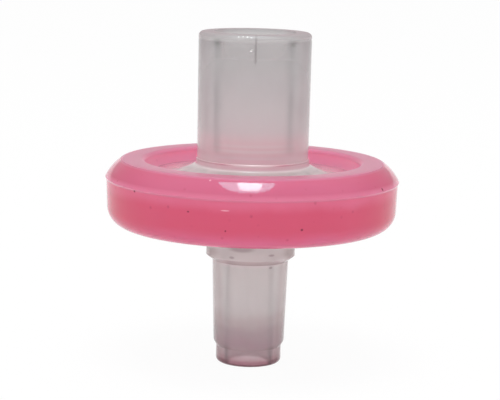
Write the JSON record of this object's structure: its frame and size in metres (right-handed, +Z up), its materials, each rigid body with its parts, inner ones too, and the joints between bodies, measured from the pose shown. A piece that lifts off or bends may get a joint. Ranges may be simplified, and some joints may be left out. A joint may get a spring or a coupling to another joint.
{
  "type": "syringe filter",
  "caption": "Disposable syringe filter: a female Luer socket on top, a membrane held between two translucent housings by a pink overmoulded ring, and a male Luer slip outlet below.",
  "frame": {"origin": "The middle of the end of the outlet nose, which is the bottom centre of the bounding box, on the filter's axis", "axes": "+Z runs up the filter's axis, from the outlet through the membrane to the mouth of the inlet socket. +X and +Y lie across it and are alike: a drain channel and a long spreading rib lie along each."},
  "size_m": [0.017, 0.017, 0.0193],
  "materials": {
    "natural_polypropylene": "satin",
    "membrane_film": "matte",
    "pink_polypropylene": "gloss"
  },
  "bodies": {
    "root": {"inlet_housing": "natural_polypropylene", "membrane": "membrane_film", "outlet_housing": "natural_polypropylene", "sealing_ring": "pink_polypropylene"}
  },
  "joints": []
}
